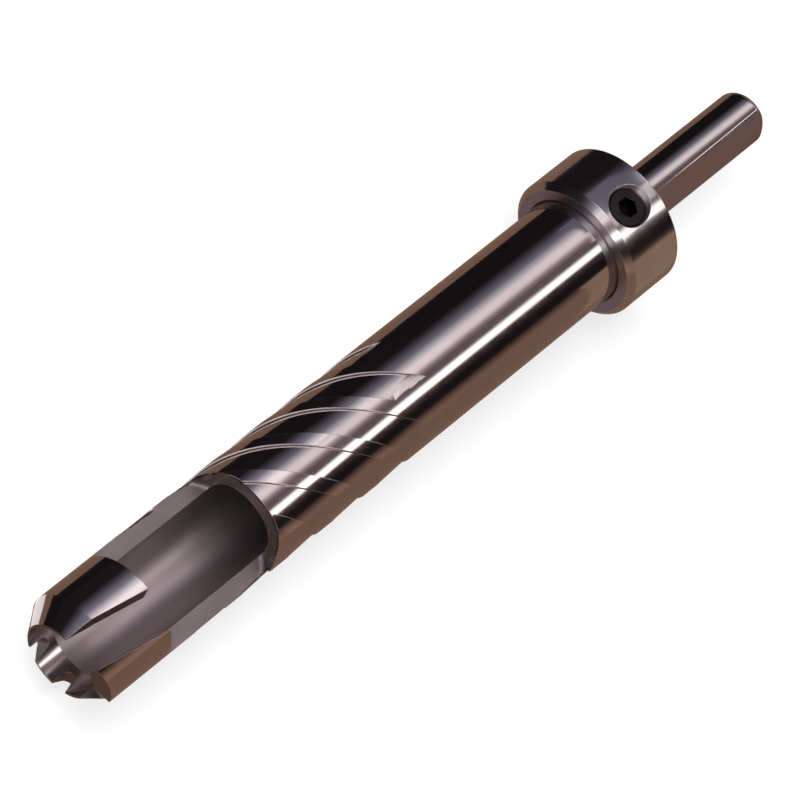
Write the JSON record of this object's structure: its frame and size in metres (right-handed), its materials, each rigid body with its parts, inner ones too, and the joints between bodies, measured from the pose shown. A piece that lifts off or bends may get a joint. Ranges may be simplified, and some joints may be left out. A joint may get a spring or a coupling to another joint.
{
  "type": "plug cutter",
  "caption": "Drill-mounted plug cutter: hollow toothed tube with a side window, shallow helical flutes, an adjustable stop collar with a set screw, and a plain shank with a flat.",
  "frame": {"origin": "on the tool's axis, at the shoulder where the shank leaves the tube", "axes": "+X along the axis from the teeth to the shank, +Z out through the middle of the ejection window, +Y across the tool"},
  "size_m": [0.1651, 0.0254, 0.0254],
  "materials": {
    "tool_steel": "polished",
    "collar_steel": "polished",
    "black_steel": "black oxide"
  },
  "bodies": {
    "cutter": {"cutter_body": "tool_steel"},
    "collar": {"stop_collar": "collar_steel"},
    "screw": {"set_screw": "black_steel"}
  },
  "joints": [
    {"name": "collar_slide", "type": "slide", "parent": "cutter", "child": "collar", "axis": [-1, 0, 0], "range_m": [0, 0.039]},
    {"name": "screw_turn", "type": "hinge", "parent": "collar", "child": "screw", "pos_m": [-0.0059, 0, 0.0107], "axis": [0, 0, 1], "range_deg": [0, 360]}
  ]
}
